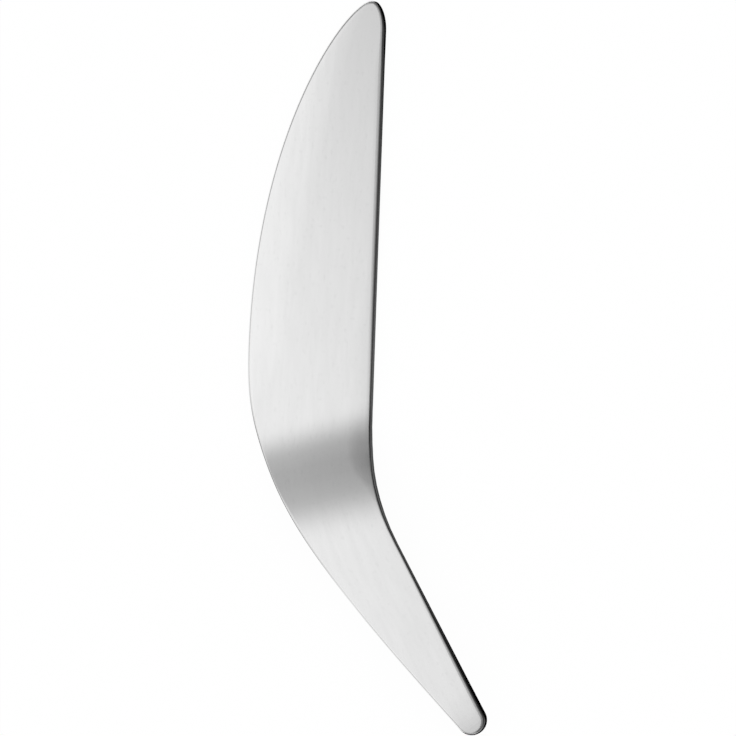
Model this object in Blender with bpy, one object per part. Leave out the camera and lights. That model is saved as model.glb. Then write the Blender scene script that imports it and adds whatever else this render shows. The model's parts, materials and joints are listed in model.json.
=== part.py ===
"""One-piece stainless steel cake server.

The server is one blank of plate: a long blade with a straight spine on its right and a bowed belly
on its left, a neck that swings the handle to the right, and a handle that narrows to a round end.
Two opposite bends across the neck crank the handle up, so that fingers fit under it while the blade
lies flat. The metal's edge is rounded all the way round, more along the spine and at the handle's
end than at the neck. The upper face is eased towards the edge in strips: along the belly, which is
thinned to slide under a slice, along the spine, and inside the elbow. The handle's end droops a little.

Metres, Z up. The blade lies on Z = 0 with its tip towards +Y and its spine along Y.
"""

import math

import bmesh
import bpy
from mathutils import Matrix, Vector
from mathutils.geometry import interpolate_bezier

MM = 0.001

# Plate
THICKNESS = 2.4 * MM

# Blade outline, on the flat blank. The spine's line meets the handle's right edge at the elbow corner.
SPINE_LENGTH = 151.55 * MM  # elbow corner to the level of the tip
BLADE_WIDTH = 40.5 * MM  # spine to the fullest point of the belly
BELLY_HEIGHT = 41.4 * MM  # that point's height over the elbow corner
TIP_SET_BACK = 4.57 * MM  # the tip's distance from the spine's line
TIP_ROUND = 9.6 * MM  # length of the rounding between spine and tip
BELLY_TIP_PULL = 0.198  # how far the belly runs flat at the tip, as a share of the blade's width
BELLY_SIDE_PULL = 0.632  # how long it runs straight down, as a share of its height under the tip

# Handle outline, on the flat blank
HANDLE_SWEEP = math.radians(29.8)  # between the spine's line and the handle's right edge
HANDLE_TAPER = math.radians(14.7)  # between the handle's two edges
HANDLE_LENGTH = 86.2 * MM  # elbow corner to the handle's end, along the right edge
HANDLE_END_RADIUS = 4.74 * MM
STRAIGHT_EDGE = 19.2 * MM  # straight part of the left edge, before the round end
ELBOW_RADIUS = 83.5 * MM
HEEL_PULL = 0.211  # curve from the belly into the left edge: shares of the distance between them
HANDLE_PULL = 0.663

# Crank
CRANK_START = 25.3 * MM  # elbow corner to the start of the first bend, square to the bend
CRANK_TURN = math.radians(16.0)  # the bends' turn from square to the spine
CRANK_ANGLE = math.radians(22.0)  # slope of the ramp
HANDLE_RISE = math.radians(1.0)  # slope left in the handle
LOWER_BEND_RADIUS = 43.0 * MM  # radii at mid-thickness
UPPER_BEND_RADIUS = 57.0 * MM
RAMP_LENGTH = 4.8 * MM

# Droop of the handle's end: a third, slight bend square to the handle
DROOP_LENGTH = 14.0 * MM
DROOP_RADIUS = 180.0 * MM

# Rounded edge: how far it reaches in from the outline
SPINE_ROLL = 1.7 * MM  # along the upper spine
ELBOW_ROLL = 1.1 * MM  # at the elbow's upper end
NECK_ROLL = 0.85 * MM  # at its lower end
HANDLE_END_ROLL = 2.0 * MM
TIP_ROLL = 1.2 * MM
BELLY_ROLL = 0.8 * MM

# Eased strips of the upper face: their widths inside the rounded edge
BELLY_LAND = 6.5 * MM
TIP_LAND = 0.5 * MM
SPINE_LAND = 1.3 * MM  # along the upper spine
SHOULDER_LAND = 2.5 * MM  # at the elbow's upper end
ELBOW_LAND = 7.0 * MM  # where it is widest, two thirds of the way up the elbow
HANDLE_LAND = 1.5 * MM  # along the handle's right edge
LAND_RADIUS = 100.0 * MM  # radius at which they all fall away

# Finish
STEEL_COLOUR = (0.80, 0.80, 0.80, 1.0)
STEEL_ROUGHNESS = 0.32

# Fineness of the facets
FACET_LENGTH = 5.0 * MM  # along straight and slightly bowed edges
ARC_STEP = math.radians(9.0)  # around arcs of the outline
BEND_STEP = math.radians(3.5)  # around the bends
ROLL_STEPS = 4  # from the edge's middle to the face
LAND_STEPS = 3  # across an eased strip
LEAST_LAND = 0.3 * MM  # a strip's width where the metal keeps its full thickness

HALF_THICKNESS = THICKNESS / 2
QUARTER_ARC = 4 / 3 * (math.sqrt(2) - 1)  # pull of a cubic curve that draws a quarter ellipse


def direction(angle):
    """Unit vector in the blank, turned from straight down (-Y) towards +X."""
    return Vector((math.sin(angle), -math.cos(angle)))


def left_of(vector):
    """The vector turned a quarter turn anticlockwise."""
    return Vector((-vector.y, vector.x))


def ease(share):
    """Runs from 0 to 1 with a level start and end."""
    return share * share * (3 - 2 * share)


def straight(start, end):
    """Points from start to end, end included."""
    count = max(1, math.ceil((end - start).length / FACET_LENGTH))
    return [start.lerp(end, i / count) for i in range(count + 1)]


def arc(centre, start, turn):
    """Points of an arc about centre, from start through turn (anticlockwise is positive)."""
    count = max(2, math.ceil(abs(turn) / ARC_STEP))
    spoke = start - centre
    return [centre + Matrix.Rotation(turn * i / count, 2) @ spoke for i in range(count + 1)]


def curve(start, start_pull, end_pull, end, steps):
    """Points of a cubic curve, both ends included."""
    knots = [point.to_3d() for point in (start, start_pull, end_pull, end)]
    return [point.to_2d() for point in interpolate_bezier(*knots, steps + 1)]


def handle_end_centre():
    """Centre of the handle's round end on the flat blank."""
    along = direction(HANDLE_SWEEP)
    return along * (HANDLE_LENGTH - HANDLE_END_RADIUS) - left_of(along) * HANDLE_END_RADIUS


def stretches():
    """The blank's outline, anticlockwise from the handle's end.

    Each stretch is its points, the roll and the eased strip's width at its start, the same at its end,
    and the share of the stretch over which they change. It starts where the one before it ends.
    """
    up = Vector((0, 1))
    right = Vector((1, 0))
    along = direction(HANDLE_SWEEP)
    left_along = direction(HANDLE_SWEEP + HANDLE_TAPER)
    out_right = left_of(along)
    out_left = -left_of(left_along)

    end_centre = handle_end_centre()
    end_right = end_centre + out_right * HANDLE_END_RADIUS
    end_left = end_centre + out_left * HANDLE_END_RADIUS
    edge_start = end_left - left_along * STRAIGHT_EDGE

    elbow_reach = ELBOW_RADIUS * math.tan(HANDLE_SWEEP / 2)
    elbow_centre = Vector((ELBOW_RADIUS, elbow_reach))
    elbow_low = along * elbow_reach
    elbow_high = up * elbow_reach
    spine_middle = up * (SPINE_LENGTH / 2)
    spine_top = up * (SPINE_LENGTH - TIP_ROUND)
    tip = Vector((-TIP_SET_BACK, SPINE_LENGTH))
    fullest = Vector((-BLADE_WIDTH, BELLY_HEIGHT))
    reach = (edge_start - fullest).length

    rounding = curve(
        spine_top,
        spine_top + up * (TIP_ROUND * QUARTER_ARC),
        tip + right * (TIP_SET_BACK * QUARTER_ARC),
        tip,
        steps=12,
    )
    belly = curve(
        tip,
        tip - right * (BLADE_WIDTH * BELLY_TIP_PULL),
        fullest + up * ((SPINE_LENGTH - BELLY_HEIGHT) * BELLY_SIDE_PULL),
        fullest,
        steps=36,
    )
    heel = curve(
        fullest,
        fullest - up * (reach * HEEL_PULL),
        edge_start - left_along * (reach * HANDLE_PULL),
        edge_start,
        steps=31,
    )
    elbow = []
    for i in range(3):
        spoke = Matrix.Rotation(-HANDLE_SWEEP * i / 3, 2) @ (elbow_low - elbow_centre)
        elbow.append(arc(elbow_centre, elbow_centre + spoke, -HANDLE_SWEEP / 3))

    thin = (BELLY_ROLL, 0)
    grip = (HANDLE_END_ROLL, HANDLE_LAND)
    neck = (NECK_ROLL, HANDLE_LAND)
    pressed = ((NECK_ROLL + ELBOW_ROLL) / 2, ELBOW_LAND)
    shoulder = (ELBOW_ROLL, SHOULDER_LAND)
    spine = (SPINE_ROLL, SPINE_LAND)
    top = (TIP_ROLL, TIP_LAND)
    full = (BELLY_ROLL, BELLY_LAND)
    return [
        (arc(end_centre, end_left, math.pi - HANDLE_TAPER), thin, grip, 0.6),
        (straight(end_right, elbow_low), grip, neck, 1),
        (elbow[0], neck, neck, 1),
        (elbow[1], neck, pressed, 1),
        (elbow[2], pressed, shoulder, 1),
        (straight(elbow_high, spine_middle), shoulder, spine, 1),
        (straight(spine_middle, spine_top), spine, spine, 1),
        (rounding, spine, top, 1),
        (belly, top, full, 0.6),
        (heel, full, thin, 0.33),
        (straight(edge_start, end_left), thin, thin, 1),
    ]


def edge_stations():
    """(point, outward direction, roll, strip width) around the blank, anticlockwise."""
    points, edges = [], []
    for run, edge_start, edge_end, changing in stretches():
        steps = len(run) - 1
        for i, point in enumerate(run[:-1]):
            share = ease(min(1, i / steps / changing))
            points.append(point)
            edges.append([a + (b - a) * share for a, b in zip(edge_start, edge_end)])
    stations = []
    for i, point in enumerate(points):
        after = points[(i + 1) % len(points)]
        outward = -left_of((after - points[i - 1]).normalized())
        stations.append((point, outward, *edges[i]))
    return stations


def edge_profile(roll, land):
    """(inset, height over mid-thickness) from the top face, around the edge, to the bottom face.

    The strip dips along a parabola and the rounded edge is a quarter ellipse above and below. The
    upper one starts at the strip's own slope, so that the two meet without a crease.
    """
    slope = land / LAND_RADIUS
    dip = slope * land / 2
    first = math.atan2(HALF_THICKNESS, roll * slope)
    upper_height = (HALF_THICKNESS - dip) / math.sin(first)
    strip_start = roll * (1 - math.cos(first))
    strip_width = max(land, LEAST_LAND)
    profile = []
    for i in range(LAND_STEPS, 0, -1):
        share = i / LAND_STEPS
        profile.append((strip_start + strip_width * share, HALF_THICKNESS - dip * (1 - share) ** 2))
    for i in range(ROLL_STEPS + 1):
        angle = first * (1 - i / ROLL_STEPS)
        profile.append((roll * (1 - math.cos(angle)), upper_height * math.sin(angle)))
    for i in range(1, ROLL_STEPS + 1):
        angle = math.pi / 2 * i / ROLL_STEPS
        profile.append((roll * (1 - math.cos(angle)), -HALF_THICKNESS * math.sin(angle)))
    return profile


def flat_blank(mesh):
    """Fills the mesh with the flat blank: rings around its edge, closed by two faces."""
    columns = []
    for point, outward, roll, land in edge_stations():
        column = []
        for inset, height in edge_profile(roll, land):
            column.append(mesh.verts.new((point - outward * inset).to_3d() + Vector((0, 0, height))))
        columns.append(column)
    for i, column in enumerate(columns):
        before = columns[i - 1]
        for j in range(len(column) - 1):
            mesh.faces.new((before[j], before[j + 1], column[j + 1], column[j]))
    mesh.faces.new([column[0] for column in columns])
    mesh.faces.new([column[-1] for column in reversed(columns)])


def crank_stretches():
    """(length, angle at the start, angle at the end) along the crank, from the blade up."""
    return [
        (LOWER_BEND_RADIUS * CRANK_ANGLE, 0, CRANK_ANGLE),
        (RAMP_LENGTH, CRANK_ANGLE, CRANK_ANGLE),
        (UPPER_BEND_RADIUS * (CRANK_ANGLE - HANDLE_RISE), CRANK_ANGLE, HANDLE_RISE),
    ]


def droop_axis():
    """(direction along the handle, distance along it at which the droop starts)."""
    axis = direction(HANDLE_SWEEP + HANDLE_TAPER / 2)
    return axis, handle_end_centre().dot(axis) + HANDLE_END_RADIUS - DROOP_LENGTH


def score(mesh, across, start, length, angle):
    """Cuts the blank's faces along the facet lines of one bend, which lie square to across."""
    count = max(1, math.ceil(abs(angle) / BEND_STEP))
    for i in range(count + 1):
        bmesh.ops.bisect_plane(
            mesh,
            geom=mesh.verts[:] + mesh.edges[:] + mesh.faces[:],
            dist=1e-6,
            plane_co=across.to_3d() * (start + length * i / count),
            plane_no=across.to_3d(),
        )


def score_bends(mesh):
    """Cuts the blank's faces along every facet line of the crank and of the droop."""
    start = -CRANK_START
    for length, angle_start, angle_end in crank_stretches():
        score(mesh, direction(CRANK_TURN), start, length, angle_end - angle_start)
        start += length
    axis, droop_start = droop_axis()
    score(mesh, axis, droop_start, DROOP_LENGTH, DROOP_LENGTH / DROOP_RADIUS)


def crank_at(distance):
    """(run, rise, slope) of mid-thickness at a distance past the start of the first bend."""
    if distance <= 0:
        return distance, 0.0, 0.0
    run, rise, slope = 0.0, 0.0, 0.0
    for length, angle_start, angle_end in crank_stretches():
        part = min(distance, length)
        slope = angle_start + (angle_end - angle_start) * part / length
        if angle_start == angle_end:
            run += part * math.cos(slope)
            rise += part * math.sin(slope)
        else:
            radius = length / (angle_end - angle_start)
            run += radius * (math.sin(slope) - math.sin(angle_start))
            rise += radius * (math.cos(angle_start) - math.cos(slope))
        distance -= part
        if distance <= 0:
            return run, rise, slope
    return run + distance * math.cos(slope), rise + distance * math.sin(slope), slope


def drooped(flat, height):
    """Where a point of the flat blank goes when the handle's end is bent down."""
    axis, start = droop_axis()
    past = max(0, flat.dot(axis) - start)
    angle = past / DROOP_RADIUS
    spoke = DROOP_RADIUS + height
    return flat + axis * (spoke * math.sin(angle) - past), spoke * math.cos(angle) - DROOP_RADIUS


def fold(mesh):
    """Bends the flat blank, the handle's end first. Lengths at mid-thickness stay as they are."""
    across = direction(CRANK_TURN)
    beside = left_of(across)
    for vertex in mesh.verts:
        flat, height = drooped(vertex.co.to_2d(), vertex.co.z)
        run, rise, slope = crank_at(flat.dot(across) + CRANK_START)
        run -= height * math.sin(slope) + CRANK_START
        place = beside * flat.dot(beside) + across * run
        vertex.co = (place.x, place.y, HALF_THICKNESS + rise + height * math.cos(slope))


def centre_on_footprint(mesh):
    """Moves the origin to the middle of the footprint."""
    xs = [vertex.co.x for vertex in mesh.verts]
    ys = [vertex.co.y for vertex in mesh.verts]
    middle = Vector(((min(xs) + max(xs)) / 2, (min(ys) + max(ys)) / 2, 0))
    bmesh.ops.translate(mesh, verts=mesh.verts, vec=-middle)


def satin_steel():
    """Bare stainless steel with a satin finish."""
    material = bpy.data.materials.new("satin_steel")
    material.use_nodes = True
    shader = material.node_tree.nodes["Principled BSDF"]
    shader.inputs["Base Color"].default_value = STEEL_COLOUR
    shader.inputs["Metallic"].default_value = 1.0
    shader.inputs["Roughness"].default_value = STEEL_ROUGHNESS
    return material


def cake_server():
    """The whole server, which is one piece of metal."""
    shape = bmesh.new()
    flat_blank(shape)
    score_bends(shape)
    fold(shape)
    centre_on_footprint(shape)
    bmesh.ops.recalc_face_normals(shape, faces=shape.faces)
    data = bpy.data.meshes.new("cake_server")
    shape.to_mesh(data)
    shape.free()
    data.shade_smooth()
    data.materials.append(satin_steel())
    server = bpy.data.objects.new("cake_server", data)
    bpy.context.scene.collection.objects.link(server)
    server.modifiers.new("face_normals", "WEIGHTED_NORMAL")


for left_over in list(bpy.data.objects):
    bpy.data.objects.remove(left_over)
cake_server()
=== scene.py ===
"""Cake server in satin steel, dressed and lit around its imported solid.

The server is one bent blank of plate, so there is one piece: a fine mesh of the same blank, folded the
same way, which takes the place of the solid. Its outline and bends are the solid's. Its rounded edges and
eased strips are shaped a little further. Metres, Z up, with the blade lying on the floor.
"""

import json
import math
from typing import NamedTuple

import bmesh
import bpy
from bpy.props import FloatProperty, FloatVectorProperty, PointerProperty
from mathutils import Matrix, Vector
from mathutils.geometry import interpolate_bezier


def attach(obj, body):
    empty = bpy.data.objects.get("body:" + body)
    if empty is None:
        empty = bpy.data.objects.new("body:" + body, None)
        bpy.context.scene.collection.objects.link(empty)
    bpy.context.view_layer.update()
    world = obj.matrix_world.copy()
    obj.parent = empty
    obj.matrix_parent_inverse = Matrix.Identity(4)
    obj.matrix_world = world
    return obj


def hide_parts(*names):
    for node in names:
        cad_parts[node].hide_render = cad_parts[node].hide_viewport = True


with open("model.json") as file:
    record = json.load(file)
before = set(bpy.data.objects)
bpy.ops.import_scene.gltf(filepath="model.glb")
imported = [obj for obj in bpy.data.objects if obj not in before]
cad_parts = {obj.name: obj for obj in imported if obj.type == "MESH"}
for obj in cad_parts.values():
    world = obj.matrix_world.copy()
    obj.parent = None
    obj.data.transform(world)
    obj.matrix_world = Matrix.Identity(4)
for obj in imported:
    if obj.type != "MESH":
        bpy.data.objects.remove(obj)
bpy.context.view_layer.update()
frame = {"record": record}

bl_info = {
    "name": "Cake server",
    "version": (1, 0, 0),
    "blender": (4, 5, 0),
    "location": "3D View > Sidebar > Cake server",
    "description": "Builds a one-piece satin steel cake server and a plain studio around it",
    "category": "Object",
}

MM = 0.001
SOLID = "cake_server"
PIECE = "cake_server_steel"
WHITE = (1.0, 1.0, 1.0, 1.0)
STEEL = next(material for material in frame["record"]["materials"] if material["slot"] == "steel")

# Fineness of the mesh
FACET_LENGTH = 2.0 * MM
ARC_STEP = math.radians(4.0)
BEND_STEP = math.radians(0.5)
CURVE_STEPS = 90
ROLL_STEPS = 8
LAND_STEPS = 6
LEAST_LAND = 0.3 * MM
SCORE_SNAP = 0.0001 * MM

# Pull of a curve that rounds a corner as a quarter of a circle does, per radius
QUARTER_ARC = 4 / 3 * (math.sqrt(2) - 1)
# The spine's edge starts to change this many tip roundings below the level of the tip
TIP_RUN = 2.4
# Shares of the belly's and the heel's curves over which their edges change
BELLY_CHANGE = 0.7
HEEL_CHANGE = 0.33


class MarkLayer(NamedTuple):
    """A layer of marks in the steel.

    Its marks are so many times as wide and as long as a single mark. The seed is its place in the noise,
    and the tone is its share in the change of colour.
    """

    widths: float
    lengths: float
    seed: float
    detail: float
    tone: float


FINE = MarkLayer(widths=1, lengths=1, seed=3.0, detail=2.0, tone=0.15)
SOFT = MarkLayer(widths=3, lengths=1, seed=7.0, detail=1.0, tone=0.35)
BROAD = MarkLayer(widths=12, lengths=4, seed=11.0, detail=1.0, tone=0.5)
FLECK = MarkLayer(widths=1, lengths=2, seed=17.0, detail=0.0, tone=0.6)
NOISE_ROUGHNESS = 0.55
NOISE_MIDDLE = 0.5
# Noise between these levels fades into a fleck
FLECK_START = 0.68
FLECK_FULL = 0.76


class Sheet(NamedTuple):
    """A sheet with one straight, soft edge in the dome, all in degrees.

    It is turned from the right towards the far side. It begins and is full at angles from straight above.
    """

    turn: float
    begin: float
    full: float


# Flags that shade the softbox, with the share of light that each takes
FLAGS = (
    # The faces, more towards the right and the tip
    (0.545, Sheet(turn=24.5, begin=-9.5, full=-3.5)),
    # The rounding all along the right edge
    (0.59, Sheet(turn=45.0, begin=22.5, full=31.5)),
    # The dark band across the neck
    (0.4, Sheet(turn=94.0, begin=3.0, full=30.0)),
    # The right edge of the blade and the end of the handle
    (0.5, Sheet(turn=-51.0, begin=6.5, full=10.0)),
    # The top of the tip and the inside of the elbow
    (0.9, Sheet(turn=85.0, begin=46.5, full=57.0)),
    # The line along the left edge
    (0.25, Sheet(turn=180.0, begin=30.0, full=36.0)),
    # A light shade over the blade and the handle
    (0.055, Sheet(turn=239.0, begin=1.5, full=5.5)),
    # The right edge again, further round
    (0.51, Sheet(turn=332.0, begin=19.5, full=40.5)),
)
# White cards, each where all its sheets cover, with the light that it adds per light left by the flags
CARDS = (
    # Low on the near right, for views from behind
    (2.0, (Sheet(turn=-53.0, begin=65.5, full=72.5),)),
    # Low on the far side, for views from the front
    (
        25.0,
        (
            Sheet(turn=88.0, begin=52.5, full=62.0),
            Sheet(turn=205.0, begin=-69.5, full=-62.0),
            Sheet(turn=335.0, begin=-69.5, full=-62.0),
        ),
    ),
)
# Least height in the dome, which keeps the directions near the horizon finite
HORIZON = 0.02


class Spot(NamedTuple):
    """A round place on the floor, which fades from its core out to its reach."""

    centre: Vector
    reach: float
    core: float


FLOOR_CORNERS = ((-3, -3), (3, -3), (3, 3), (-3, 3))
FLOOR_DEPTH = 0.1 * MM
# Share of plain white in the floor as it is seen. The rest is paint, which takes the server's shadow.
FLOOR_GLOW = 0.96
# The dark paper's left side lies under the spine and the handle, and turns left past the handle's end
FLAG_CORNERS = (
    (-0.003, 2.9),
    (-0.003, -0.045),
    (0.03, -0.11),
    (-0.05, -0.3),
    (-0.05, -2.9),
    (2.9, -2.9),
    (2.9, 2.9),
)
FLAG_DEPTH = 0.05 * MM
# A paler patch in the dark paper, to the right of the elbow
FLAG_PATCH = Spot(centre=Vector((58, 15, 0)) * MM, reach=100 * MM, core=45 * MM)
# A painted shade on the floor under the neck's left side, in place of the raised neck's shadow, which
# only reflections show
PAINTED_NECK_SHADE = Spot(centre=Vector((-27, -42, 0)) * MM, reach=45 * MM, core=20 * MM)
# The camera shows nothing nearer than this
NEAREST_SEEN = 10 * MM


def length(name, description, millimetres):
    """A length that is written in millimetres and kept in metres."""
    return FloatProperty(
        name=name, description=description, default=millimetres * MM, unit="LENGTH", min=0, precision=5
    )


def angle(name, description, degrees):
    """An angle that is written in degrees."""
    return FloatProperty(
        name=name, description=description, default=math.radians(degrees), subtype="ANGLE"
    )


def share(name, description, default):
    """A part of something else, from 0 to 1."""
    return FloatProperty(
        name=name, description=description, default=default, min=0, max=1, subtype="FACTOR"
    )


def level(name, description, default):
    """A strength of light, where 1 is white."""
    return FloatProperty(name=name, description=description, default=default, min=0)


def tint(name, description, default):
    """A colour in linear light."""
    return FloatVectorProperty(
        name=name, description=description, default=default, min=0, max=1, subtype="COLOR"
    )


class ServerSizes(bpy.types.PropertyGroup):
    """Sizes of the blank and of its bends."""

    thickness: length("Plate", "Thickness of the plate", 2.4)
    spine_length: length("Spine", "Elbow corner to the level of the tip", 151.55)
    blade_width: length("Blade width", "Spine to the fullest point of the belly", 40.5)
    belly_height: length("Belly height", "Belly's fullest point over the elbow corner", 41.4)
    tip_set_back: length("Tip set back", "Distance of the tip from the spine's line", 4.57)
    tip_round: length("Tip round", "Length of the rounding between spine and tip", 9.6)
    belly_tip_pull: share("Belly at the tip", "How far the belly runs flat at the tip, per width", 0.198)
    belly_side_pull: share("Belly at its side", "How long the belly runs straight, per height", 0.632)
    handle_sweep: angle("Handle sweep", "Between the spine's line and the handle's right edge", 29.8)
    handle_taper: angle("Handle taper", "Between the handle's two edges", 14.7)
    handle_length: length("Handle", "Elbow corner to the handle's end, along the right edge", 86.2)
    handle_end_radius: length("Handle end", "Radius of the handle's end", 4.74)
    straight_edge: length("Straight edge", "Straight part of the handle's left edge", 19.2)
    elbow_radius: length("Elbow", "Radius between the spine and the handle's right edge", 83.5)
    heel_pull: share("Heel pull", "How long the heel follows the belly", 0.211)
    handle_pull: share("Handle pull", "How long the heel follows the handle's left edge", 0.663)
    crank_start: length("Crank start", "Elbow corner to the start of the first bend", 25.3)
    crank_turn: angle("Crank turn", "Turn of the bends from square to the spine", 16.0)
    crank_angle: angle("Crank angle", "Slope of the ramp between the bends", 22.0)
    handle_rise: angle("Handle rise", "Slope left in the handle", 1.0)
    lower_bend_radius: length("Lower bend", "Radius of the bend at the blade", 43.0)
    upper_bend_radius: length("Upper bend", "Radius of the bend at the handle", 57.0)
    ramp_length: length("Ramp", "Flat length between the bends", 4.8)
    spine_roll: length("Spine edge", "Reach of the rounded edge along the upper spine", 1.7)
    shoulder_roll: length("Shoulder edge", "Reach of the rounded edge at the elbow's upper end", 1.15)
    shoulder_depth: length("Shoulder edge depth", "Depth of the rounding at the elbow's upper end", 1.6)
    elbow_roll: length("Elbow edge", "Reach of the rounded edge inside the elbow", 1.0)
    elbow_depth: length("Elbow edge depth", "Depth of the upper rounding inside the elbow", 2.0)
    neck_roll: length("Neck edge", "Reach of the rounded edge at the elbow's lower end", 0.85)
    handle_end_roll: length("Handle edge", "Reach of the rounded edge at the handle's end", 1.75)
    belly_roll: length("Belly edge", "Reach of the rounded edge along the belly", 0.8)
    tip_roll: length("Tip edge", "Reach of the rounded edge at the tip", 1.55)
    tip_depth: length("Tip edge depth", "Depth of the upper rounding at the tip", 1.6)
    handle_end_depth: length("Handle edge depth", "Depth of the upper rounding at the handle's end", 1.9)
    belly_land: length("Belly land", "Width of the eased strip inside the belly's edge", 13.3)
    tip_land: length("Tip land", "Width of the eased strip at the tip", 0.4)
    spine_land: length("Spine land", "Width of the eased strip inside the upper spine", 1.3)
    shoulder_land: length("Shoulder land", "Width of the eased strip at the elbow's upper end", 6.0)
    elbow_land: length("Elbow land", "Width of the eased strip inside the elbow", 7.0)
    handle_land: length("Handle land", "Width of the eased strip inside the handle's right edge", 0.9)
    land_radius: length("Land radius", "Radius at which the narrow strips fall away", 100.0)
    wide_land_radius: length("Wide land radius", "Radius at which the wide strips fall away", 450.0)
    droop_length: length("Droop", "Length of the bend at the handle's end", 14.0)
    droop_radius: length("Droop radius", "Radius of the bend at the handle's end", 180.0)


class SteelFinish(bpy.types.PropertyGroup):
    """Look of the satin steel."""

    colour: tint("Steel", "Colour of the bare steel", STEEL["base_color"])
    face_roughness: share("Face roughness", "Roughness of the ground faces", 0.19)
    edge_roughness: share("Edge roughness", "Roughness of the smoother rounded edges", 0.12)
    grain_spread: share("Grain spread", "How far the grain changes the roughness", 0.045)
    tone_spread: share("Tone spread", "How far the grain changes the colour", 0.028)
    grain_depth: length("Grain depth", "Depth of the grinding marks", 0.0005)
    grain_width: length("Grain width", "Width of a fine grinding mark", 0.55)
    grain_length: length("Grain length", "Length of a fine grinding mark", 14.0)
    fleck_size: length("Fleck size", "Width of a small mark left by handling", 0.9)


class StudioSetup(bpy.types.PropertyGroup):
    """Floor, light and camera."""

    floor_colour: tint("Floor", "Colour of the floor", (0.97, 0.97, 0.97))
    softbox_level: level("Softbox", "Level of the softbox overhead", 1.2)
    flag_level: level("Floor flag", "Level of the paler patch in the dark paper on the floor", 0.14)
    # Darkness of the painted shade under the neck, seen only in reflections
    painted_neck_shade: share("Neck shade", "How dark the floor under the neck is in reflections", 0.75)
    camera_turn: angle("Camera turn", "How far the camera stands to the right of straight above", 9.0)
    camera_roll: angle("Camera roll", "How far the spine leans to the right in the picture", 2.05)
    camera_distance: length("Camera distance", "Lens to the server", 950.0)
    picture_width: length("Picture width", "Width of the view at the server", 230.4)
    camera_aim: FloatVectorProperty(
        name="Camera aim",
        description="Point that the camera looks at",
        default=Vector((-1.29, -1.57, 6.0)) * MM,
        subtype="TRANSLATION",
        unit="LENGTH",
        precision=5,
    )


def direction(turn):
    """Unit vector in the blank, turned from straight down (-Y) towards +X."""
    return Vector((math.sin(turn), -math.cos(turn)))


def left_of(vector):
    """The vector turned a quarter turn anticlockwise."""
    return Vector((-vector.y, vector.x))


def ease(part):
    """Runs from 0 to 1 with a level start and end."""
    return part * part * (3 - 2 * part)


def straight(start, end):
    """Points from start to end, end included."""
    count = max(1, math.ceil((end - start).length / FACET_LENGTH))
    return [start.lerp(end, i / count) for i in range(count + 1)]


def arc(centre, start, turn):
    """Points of an arc about centre, from start through turn."""
    count = max(2, math.ceil(abs(turn) / ARC_STEP))
    spoke = start - centre
    return [centre + Matrix.Rotation(turn * i / count, 2) @ spoke for i in range(count + 1)]


def curve(start, start_pull, end_pull, end):
    """Points of a cubic curve, both ends included."""
    knots = [point.to_3d() for point in (start, start_pull, end_pull, end)]
    return [point.to_2d() for point in interpolate_bezier(*knots, CURVE_STEPS + 1)]


def facet_lines(along, start, run, turn):
    """(point, direction square to the line) of each facet line of a bend, but for its last."""
    count = max(1, math.ceil(abs(turn) / BEND_STEP))
    square = along.to_3d()
    return [(square * (start + run * i / count), square) for i in range(count)]


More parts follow.
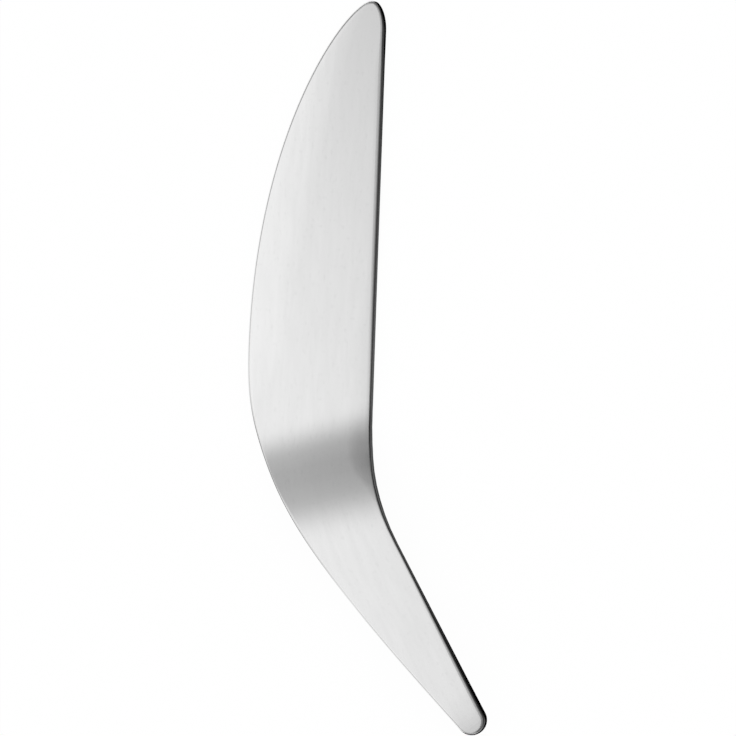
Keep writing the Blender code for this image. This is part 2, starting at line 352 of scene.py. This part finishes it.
class Blank:
    """The server's blank: its outline, its edge and the fold that cranks the handle."""

    def __init__(self, sizes):
        self.sizes = sizes
        self.half = sizes.thickness / 2
        self.across = direction(sizes.crank_turn)
        self.along = direction(sizes.handle_sweep)
        self.axis = direction(sizes.handle_sweep + sizes.handle_taper / 2)
        self.end_centre = (
            self.along * (sizes.handle_length - sizes.handle_end_radius)
            - left_of(self.along) * sizes.handle_end_radius
        )
        self.droop_start = self.end_centre.dot(self.axis) + sizes.handle_end_radius - sizes.droop_length
        self.elbow_reach = sizes.elbow_radius * math.tan(sizes.handle_sweep / 2)
        self.elbow_centre = Vector((sizes.elbow_radius, self.elbow_reach))

    def stretches(self):
        """The outline in stretches, anticlockwise from the handle's end.

        Each has its points, its edge at the start and at the end, and the share of it over which the edge
        changes. An edge is its reach, its depth, and the width and slope of the strip inside it.
        """
        s = self.sizes
        up = Vector((0, 1))
        right = Vector((1, 0))
        left_along = direction(s.handle_sweep + s.handle_taper)
        out_right = left_of(self.along)
        out_left = -left_of(left_along)

        end_right = self.end_centre + out_right * s.handle_end_radius
        end_left = self.end_centre + out_left * s.handle_end_radius
        edge_start = end_left - left_along * s.straight_edge

        elbow_low = self.along * self.elbow_reach
        elbow_high = up * self.elbow_reach
        spine_middle = up * (s.spine_length / 2)
        spine_high = up * (s.spine_length - s.tip_round * TIP_RUN)
        spine_top = up * (s.spine_length - s.tip_round)
        tip = Vector((-s.tip_set_back, s.spine_length))
        fullest = Vector((-s.blade_width, s.belly_height))
        reach = (edge_start - fullest).length

        rounding = curve(
            spine_top,
            spine_top + up * (s.tip_round * QUARTER_ARC),
            tip + right * (s.tip_set_back * QUARTER_ARC),
            tip,
        )
        belly = curve(
            tip,
            tip - right * (s.blade_width * s.belly_tip_pull),
            fullest + up * ((s.spine_length - s.belly_height) * s.belly_side_pull),
            fullest,
        )
        heel = curve(
            fullest,
            fullest - up * (reach * s.heel_pull),
            edge_start - left_along * (reach * s.handle_pull),
            edge_start,
        )
        end = arc(self.end_centre, end_left, math.pi - s.handle_taper)
        thirds = []
        for i in range(3):
            spoke = Matrix.Rotation(-s.handle_sweep * i / 3, 2) @ (elbow_low - self.elbow_centre)
            thirds.append(arc(self.elbow_centre, self.elbow_centre + spoke, -s.handle_sweep / 3))

        narrow, wide = s.land_radius, s.wide_land_radius
        thin = (s.belly_roll, self.half, 0, 0)
        grip = (s.handle_end_roll, s.handle_end_depth, s.handle_land, s.handle_land / narrow)
        neck = (s.neck_roll, self.half, s.handle_land, s.handle_land / narrow)
        elbow = (s.elbow_roll, s.elbow_depth, s.handle_land, s.handle_land / narrow)
        pressed = (s.elbow_roll, s.elbow_depth, s.elbow_land, s.elbow_land / narrow)
        shoulder = (s.shoulder_roll, s.shoulder_depth, s.shoulder_land, s.shoulder_land / wide)
        spine = (s.spine_roll, self.half, s.spine_land, s.spine_land / narrow)
        top = (s.tip_roll, s.tip_depth, s.tip_land, s.tip_land / narrow)
        apex_roll = (s.tip_roll + s.belly_roll) / 2
        apex_depth = (s.tip_depth + self.half) / 2
        apex = (apex_roll, apex_depth, s.tip_land, s.tip_land / narrow)
        full = (s.belly_roll, self.half, s.belly_land, s.belly_land / wide)
        return [
            (end, thin, grip, 1),
            (straight(end_right, elbow_low), grip, neck, 1),
            (thirds[0], neck, elbow, 1),
            (thirds[1], elbow, pressed, 1),
            (thirds[2], pressed, shoulder, 1),
            (straight(elbow_high, spine_middle), shoulder, spine, 1),
            (straight(spine_middle, spine_high), spine, spine, 1),
            (straight(spine_high, spine_top), spine, top, 1),
            (rounding, top, apex, 1),
            (belly, apex, full, BELLY_CHANGE),
            (heel, full, thin, HEEL_CHANGE),
            (straight(edge_start, end_left), thin, thin, 1),
        ]

    def stations(self):
        """(point, outward direction, edge) around the blank."""
        points, edges = [], []
        for run, start, end, changing in self.stretches():
            steps = len(run) - 1
            for i, point in enumerate(run[:-1]):
                part = ease(min(1, i / steps / changing))
                points.append(point)
                edges.append([a + (b - a) * part for a, b in zip(start, end)])
        found = []
        for i, point in enumerate(points):
            back = point - points[i - 1]
            ahead = points[(i + 1) % len(points)] - point
            along = back.normalized() * ahead.length + ahead.normalized() * back.length
            found.append((point, -left_of(along.normalized()), edges[i]))
        return found

    def profile(self, roll, depth, land, slope):
        """(inset, height over mid-thickness, share of edge) from the top face to the bottom face."""
        dip = slope * land / 2
        first = math.atan2(depth, roll * slope)
        upper_height = (depth - dip) / math.sin(first)
        outermost = self.half - depth
        strip_start = roll * (1 - math.cos(first))
        strip_width = max(land, LEAST_LAND)
        made = []
        for i in range(LAND_STEPS, 0, -1):
            part = i / LAND_STEPS
            made.append((strip_start + strip_width * part, self.half - dip * (1 - part) ** 2, 0.0))
        for i in range(ROLL_STEPS + 1):
            turn = first * (1 - i / ROLL_STEPS)
            height = outermost + upper_height * math.sin(turn)
            made.append((roll * (1 - math.cos(turn)), height, i / ROLL_STEPS))
        for i in range(1, ROLL_STEPS + 1):
            turn = math.pi / 2 * i / ROLL_STEPS
            height = outermost - (outermost + self.half) * math.sin(turn)
            made.append((roll * (1 - math.cos(turn)), height, 1 - i / ROLL_STEPS))
        return made

    def fill(self, mesh, edge):
        """Fills the mesh with the flat blank and marks each vertex with its share of edge."""
        columns = []
        for point, outward, edge_sizes in self.stations():
            column = []
            for inset, height, edge_share in self.profile(*edge_sizes):
                place = point - outward * inset
                vertex = mesh.verts.new((place.x, place.y, height))
                vertex[edge] = edge_share
                column.append(vertex)
            columns.append(column)
        for i, column in enumerate(columns):
            before = columns[i - 1]
            for j in range(len(column) - 1):
                mesh.faces.new((before[j], before[j + 1], column[j + 1], column[j]))
        mesh.faces.new([column[0] for column in columns])
        mesh.faces.new([column[-1] for column in reversed(columns)])

    def crank(self):
        """(length, slope at the start, slope at the end) along the crank, from the blade up."""
        s = self.sizes
        return [
            (s.lower_bend_radius * s.crank_angle, 0, s.crank_angle),
            (s.ramp_length, s.crank_angle, s.crank_angle),
            (s.upper_bend_radius * (s.crank_angle - s.handle_rise), s.crank_angle, s.handle_rise),
        ]

    def score(self, mesh):
        """Cuts the faces along every facet line of the bends."""
        s = self.sizes
        lines = []
        start = -s.crank_start
        for run, slope_start, slope_end in self.crank():
            lines += facet_lines(self.across, start, run, slope_end - slope_start)
            start += run
        lines += facet_lines(self.across, start, 0, 0)
        lines += facet_lines(self.axis, self.droop_start, s.droop_length, s.droop_length / s.droop_radius)
        for point, square in lines:
            bmesh.ops.bisect_plane(
                mesh,
                geom=mesh.verts[:] + mesh.edges[:] + mesh.faces[:],
                dist=SCORE_SNAP,
                plane_co=point,
                plane_no=square,
            )

    def crank_at(self, distance):
        """(run, rise, slope) of mid-thickness at a distance past the start of the first bend."""
        if distance <= 0:
            return distance, 0.0, 0.0
        run, rise, slope = 0.0, 0.0, 0.0
        for reach, slope_start, slope_end in self.crank():
            part = min(distance, reach)
            slope = slope_start + (slope_end - slope_start) * part / reach
            if slope_start == slope_end:
                run += part * math.cos(slope)
                rise += part * math.sin(slope)
            else:
                radius = reach / (slope_end - slope_start)
                run += radius * (math.sin(slope) - math.sin(slope_start))
                rise += radius * (math.cos(slope_start) - math.cos(slope))
            distance -= part
            if distance <= 0:
                return run, rise, slope
        return run + distance * math.cos(slope), rise + distance * math.sin(slope), slope

    def folded(self, flat, height):
        """Where a point of the flat blank goes when the handle is cranked up."""
        past = max(0, flat.dot(self.axis) - self.droop_start)
        turn = past / self.sizes.droop_radius
        flat = flat + self.axis * ((self.sizes.droop_radius + height) * math.sin(turn) - past)
        height = (self.sizes.droop_radius + height) * math.cos(turn) - self.sizes.droop_radius
        beside = left_of(self.across)
        run, rise, slope = self.crank_at(flat.dot(self.across) + self.sizes.crank_start)
        run -= height * math.sin(slope) + self.sizes.crank_start
        place = beside * flat.dot(beside) + self.across * run
        return Vector((place.x, place.y, self.half + rise + height * math.cos(slope)))

    def grain_at(self, flat):
        """(distance in from the right edge, distance along it), because the grain follows that edge."""
        spoke = flat - self.elbow_centre
        turn = math.atan2(-spoke.y, -spoke.x)
        if turn <= 0:
            return -flat.x, flat.y
        radius = self.sizes.elbow_radius
        if turn < self.sizes.handle_sweep:
            return spoke.length - radius, self.elbow_reach - radius * turn
        arc_length = radius * self.sizes.handle_sweep
        past = flat.dot(self.along) - self.elbow_reach
        return -flat.dot(left_of(self.along)), self.elbow_reach - arc_length - past


def facing(vertex):
    """Direction of the surface at a vertex, with its faces counted by their area."""
    total = Vector((0, 0, 0))
    for face in vertex.link_faces:
        total += face.normal * face.calc_area()
    return total.normalized()


def server_mesh(sizes):
    """The cranked server, centred on its footprint, with its grain kept in an attribute."""
    blank = Blank(sizes)
    shape = bmesh.new()
    edge = shape.verts.layers.float.new("edge")
    grain = shape.verts.layers.float_vector.new("grain")
    blank.fill(shape, edge)
    blank.score(shape)
    for vertex in shape.verts:
        flat = vertex.co.to_2d()
        vertex[grain] = (*blank.grain_at(flat), vertex[edge])
        vertex.co = blank.folded(flat, vertex.co.z)
    if not all(seam.is_manifold for seam in shape.edges):
        raise ValueError("These sizes don't make a closed blank")
    bmesh.ops.recalc_face_normals(shape, faces=shape.faces)
    shape.normal_update()
    directions = [facing(vertex) for vertex in shape.verts]
    shape.verts.layers.float.remove(edge)
    data = bpy.data.meshes.new(PIECE)
    shape.to_mesh(data)
    shape.free()
    low = Vector(map(min, zip(*(v.co for v in data.vertices))))
    high = Vector(map(max, zip(*(v.co for v in data.vertices))))
    middle = (low + high) / 2
    data.transform(Matrix.Translation((-middle.x, -middle.y, -low.z)))
    data.shade_smooth()
    data.normals_split_custom_set_from_vertices(directions)
    return data


class Value:
    """A number in a shader. Arithmetic on it adds Math nodes."""

    def __init__(self, shader, socket):
        self.shader = shader
        self.socket = socket

    def math(self, operation, first, second):
        """The result of a Math node."""
        node = self.shader.node("ShaderNodeMath", {"operation": operation}, {0: first, 1: second})
        return Value(self.shader, node.outputs[0])

    def __add__(self, other):
        return self.math("ADD", self, other)

    def __radd__(self, other):
        return self.math("ADD", other, self)

    def __sub__(self, other):
        return self.math("SUBTRACT", self, other)

    def __rsub__(self, other):
        return self.math("SUBTRACT", other, self)

    def __mul__(self, other):
        return self.math("MULTIPLY", self, other)

    def __rmul__(self, other):
        return self.math("MULTIPLY", other, self)

    def __truediv__(self, other):
        return self.math("DIVIDE", self, other)

    def __rtruediv__(self, other):
        return self.math("DIVIDE", other, self)

    def at_most(self, other):
        return self.math("MINIMUM", self, other)

    def at_least(self, other):
        return self.math("MAXIMUM", self, other)


class Shader:
    """Nodes of one material or world."""

    def __init__(self, owner):
        owner.use_nodes = True
        self.tree = owner.node_tree
        self.tree.nodes.clear()

    def node(self, kind, settings=None, sockets=None):
        """A node with its settings, then the values or links of its sockets."""
        made = self.tree.nodes.new(kind)
        for name, setting in (settings or {}).items():
            setattr(made, name, setting)
        for name, given in (sockets or {}).items():
            socket = made.inputs[name]
            if isinstance(given, Value):
                given = given.socket
            if isinstance(given, bpy.types.NodeSocket):
                self.tree.links.new(given, socket)
            else:
                socket.default_value = given
        return made

    def value(self, node, output=0):
        """A node's output, ready for arithmetic."""
        return Value(self, node.outputs[output])


def satin_steel(finish):
    """Stainless steel ground along its length, with smoother edges."""
    material = bpy.data.materials.new("satin_steel")
    shader = Shader(material)
    kept = shader.node("ShaderNodeAttribute", {"attribute_name": "grain"})
    parts = shader.node("ShaderNodeSeparateXYZ", None, {0: kept.outputs["Vector"]})
    inward = shader.value(parts, "X")
    along = shader.value(parts, "Y")
    edge = shader.value(parts, "Z")

    def marks(layer, width, reach):
        """Streaks of a layer, from 0 to 1, where a single mark has this width and reach."""
        place = shader.node(
            "ShaderNodeCombineXYZ",
            None,
            {
                "X": inward * (1 / (width * layer.widths)),
                "Y": along * (1 / (reach * layer.lengths)),
                "Z": layer.seed,
            },
        )
        noise = shader.node(
            "ShaderNodeTexNoise",
            {"noise_dimensions": "3D"},
            {
                "Vector": place.outputs[0],
                "Scale": 1.0,
                "Detail": layer.detail,
                "Roughness": NOISE_ROUGHNESS,
            },
        )
        return shader.value(noise, "Fac")

    fine = marks(FINE, finish.grain_width, finish.grain_length)
    soft = marks(SOFT, finish.grain_width, finish.grain_length)
    broad = marks(BROAD, finish.grain_width, finish.grain_length)
    handled = marks(FLECK, finish.fleck_size, finish.fleck_size)
    flecks = shader.node(
        "ShaderNodeMapRange",
        None,
        {"Value": handled, "From Min": FLECK_START, "From Max": FLECK_FULL},
    )
    fleck = shader.value(flecks)
    face = 1 - edge
    tone = shader.node(
        "ShaderNodeMix",
        {"data_type": "RGBA"},
        {
            "Factor": fine * FINE.tone + soft * SOFT.tone + broad * BROAD.tone + fleck * FLECK.tone,
            "A": (*(c * (1 + finish.tone_spread) for c in finish.colour), 1.0),
            "B": (*(c * (1 - finish.tone_spread) for c in finish.colour), 1.0),
        },
    )
    roughness = (
        finish.edge_roughness
        + face * (finish.face_roughness - finish.edge_roughness)
        + (soft - NOISE_MIDDLE) * face * finish.grain_spread
    )
    bump = shader.node(
        "ShaderNodeBump", None, {"Strength": 1.0, "Distance": finish.grain_depth, "Height": fine * face}
    )
    surface = shader.node(
        "ShaderNodeBsdfPrincipled",
        None,
        {
            "Base Color": tone.outputs["Result"],
            "Metallic": 1.0,
            "Roughness": roughness,
            "Normal": bump.outputs[0],
        },
    )
    shader.node("ShaderNodeOutputMaterial", None, {"Surface": surface.outputs[0]})
    return material


class SERVER_OT_steel(bpy.types.Operator):
    """Build the server's one piece of steel in place of its solid"""

    bl_idname = "server.steel"
    bl_label = "Cake server"

    def execute(self, context):
        data = server_mesh(context.scene.server_sizes)
        data.materials.append(satin_steel(context.scene.server_finish))
        piece = bpy.data.objects.new(PIECE, data)
        context.scene.collection.objects.link(piece)
        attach(piece, "root")
        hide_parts(SOLID)
        return {"FINISHED"}


def studio_plane(name, corners):
    """A flat object of the studio."""
    data = bpy.data.meshes.new(name)
    data.from_pydata(corners, [], [range(len(corners))])
    made = bpy.data.objects.new(name, data)
    bpy.context.scene.collection.objects.link(made)
    return made


def nearness(shader, spot):
    """From 0 at a spot's reach to 1 inside its core."""
    place = shader.node("ShaderNodeTexCoord")
    away = shader.node(
        "ShaderNodeVectorMath", {"operation": "DISTANCE"}, {0: place.outputs["Object"], 1: spot.centre}
    )
    near = shader.node(
        "ShaderNodeMapRange",
        {"interpolation_type": "SMOOTHSTEP"},
        {"Value": away.outputs["Value"], "From Min": spot.reach, "From Max": spot.core},
    )
    return shader.value(near)


def floor_flag(setup):
    """Dark paper on the floor along the server's right edge, which only reflections show."""
    made = studio_plane("floor_flag", [(x, y, -FLAG_DEPTH) for x, y in FLAG_CORNERS])
    made.visible_camera = False
    made.visible_diffuse = False
    made.visible_shadow = False
    material = bpy.data.materials.new("floor_flag")
    material.cycles.emission_sampling = "NONE"
    shader = Shader(material)
    black = shader.node("ShaderNodeEmission", None, {"Color": WHITE, "Strength": 0.0})
    grey = shader.node("ShaderNodeEmission", None, {"Color": WHITE, "Strength": setup.flag_level})
    near = nearness(shader, FLAG_PATCH)
    mixed = shader.node("ShaderNodeMixShader", None, {0: near, 1: black.outputs[0], 2: grey.outputs[0]})
    shader.node("ShaderNodeOutputMaterial", None, {"Surface": mixed.outputs[0]})
    made.data.materials.append(material)


def white_floor(setup):
    """White to the eye and in reflections, but for a painted shade under the neck, which only reflections
    show, and the server's shadow.
    """
    material = bpy.data.materials.new("floor")
    material.cycles.emission_sampling = "NONE"
    shader = Shader(material)
    path = shader.node("ShaderNodeLightPath")
    glossy = shader.value(path, "Is Glossy Ray")
    seen = shader.value(path, "Is Camera Ray") + glossy
    seen = (seen + shader.value(path, "Is Transmission Ray")).at_most(1.0) * FLOOR_GLOW
    # Painted shade: in reflections the floor's glow fades to black under the neck, in place of the neck's
    # shadow
    shade = nearness(shader, PAINTED_NECK_SHADE) * glossy * setup.painted_neck_shade
    paint = shader.node("ShaderNodeBsdfDiffuse", None, {"Color": (*setup.floor_colour, 1.0)})
    glow = shader.node("ShaderNodeEmission", None, {"Color": WHITE, "Strength": 1.0})
    black = shader.node("ShaderNodeEmission", None, {"Color": WHITE, "Strength": 0.0})
    shaded = shader.node("ShaderNodeMixShader", None, {0: shade, 1: glow.outputs[0], 2: black.outputs[0]})
    mixed = shader.node("ShaderNodeMixShader", None, {0: seen, 1: paint.outputs[0], 2: shaded.outputs[0]})
    shader.node("ShaderNodeOutputMaterial", None, {"Surface": mixed.outputs[0]})
    return material


def studio_dome(setup):
    """A softbox all round, plain white to the eye and the floor. Reflections show its flags and cards."""
    dome = bpy.data.worlds.new("dome")
    dome.cycles.sampling_method = "NONE"
    shader = Shader(dome)
    view = shader.node("ShaderNodeTexCoord")
    parts = shader.node("ShaderNodeSeparateXYZ", None, {0: view.outputs["Generated"]})
    height = shader.value(parts, "Z").at_least(HORIZON)
    right = shader.value(parts, "X") / height
    far = shader.value(parts, "Y") / height

    def cover(sheet):
        """How far a sheet covers the dome, from 0 to 1."""
        turn = math.radians(sheet.turn)
        covered = shader.node(
            "ShaderNodeMapRange",
            {"interpolation_type": "SMOOTHSTEP"},
            {
                "Value": right * math.cos(turn) + far * math.sin(turn),
                "From Min": math.tan(math.radians(sheet.begin)),
                "From Max": math.tan(math.radians(sheet.full)),
            },
        )
        return shader.value(covered)

    light = 1.0
    for taken, sheet in FLAGS:
        light = light * (1 - cover(sheet) * taken)
    for added, sheets in CARDS:
        card = 1.0
        for sheet in sheets:
            card = card * cover(sheet)
        light = light * (1 + card * added)
    path = shader.node("ShaderNodeLightPath")
    plain = (shader.value(path, "Is Camera Ray") + shader.value(path, "Is Diffuse Ray")).at_most(1.0)
    dark = shader.node("ShaderNodeBackground", None, {"Color": WHITE, "Strength": 0.0})
    softbox = shader.node("ShaderNodeBackground", None, {"Color": WHITE, "Strength": setup.softbox_level})
    shaded = shader.node(
        "ShaderNodeMixShader", None, {0: light, 1: dark.outputs[0], 2: softbox.outputs[0]}
    )
    even = shader.node("ShaderNodeBackground", None, {"Color": WHITE, "Strength": 1.0})
    mixed = shader.node("ShaderNodeMixShader", None, {0: plain, 1: shaded.outputs[0], 2: even.outputs[0]})
    shader.node("ShaderNodeOutputWorld", None, {"Surface": mixed.outputs[0]})
    return dome


class SERVER_OT_studio(bpy.types.Operator):
    """Set up the floor, the light and the camera"""

    bl_idname = "server.studio"
    bl_label = "Studio"

    def execute(self, context):
        scene = context.scene
        setup = scene.server_studio
        floor = studio_plane("floor", [(x, y, -FLOOR_DEPTH) for x, y in FLOOR_CORNERS])
        floor.data.materials.append(white_floor(setup))
        floor_flag(setup)
        scene.world = studio_dome(setup)

        turn, roll = setup.camera_turn, setup.camera_roll
        aside = Vector((math.cos(roll), math.sin(roll), 0))
        above = Vector((0, 0, 1))
        back = aside * math.sin(turn) + above * math.cos(turn)
        right = aside * math.cos(turn) - above * math.sin(turn)
        up = back.cross(right)
        lens = bpy.data.cameras.new("camera")
        lens.lens = lens.sensor_width * setup.camera_distance / setup.picture_width
        lens.clip_start = NEAREST_SEEN
        camera = bpy.data.objects.new("camera", lens)
        scene.collection.objects.link(camera)
        pose = Matrix((right, up, back)).transposed().to_4x4()
        pose.translation = setup.camera_aim + back * setup.camera_distance
        camera.matrix_world = pose
        scene.camera = camera
        scene.view_settings.view_transform = "Standard"
        return {"FINISHED"}


class SERVER_PT_panel(bpy.types.Panel):
    """Lists the server's steps and settings"""

    bl_idname = "SERVER_PT_panel"
    bl_label = "Cake server"
    bl_space_type = "VIEW_3D"
    bl_region_type = "UI"
    bl_category = "Cake server"

    def draw(self, context):
        for operator in OPERATORS:
            self.layout.operator(operator.bl_idname)
        for group in GROUPS:
            settings = getattr(context.scene, group)
            box = self.layout.box()
            for name in settings.bl_rna.properties.keys():
                if name not in ("rna_type", "name"):
                    box.prop(settings, name)


GROUPS = {"server_sizes": ServerSizes, "server_finish": SteelFinish, "server_studio": StudioSetup}
OPERATORS = (SERVER_OT_steel, SERVER_OT_studio)


def register():
    for group, kind in GROUPS.items():
        bpy.utils.register_class(kind)
        setattr(bpy.types.Scene, group, PointerProperty(type=kind))
    for kind in (*OPERATORS, SERVER_PT_panel):
        bpy.utils.register_class(kind)


def unregister():
    for kind in (SERVER_PT_panel, *reversed(OPERATORS)):
        bpy.utils.unregister_class(kind)
    for group, kind in GROUPS.items():
        delattr(bpy.types.Scene, group)
        bpy.utils.unregister_class(kind)


def main():
    """Builds the piece and the studio."""
    register()
    bpy.ops.server.steel()
    bpy.ops.server.studio()


if __name__ == "__main__":
    main()
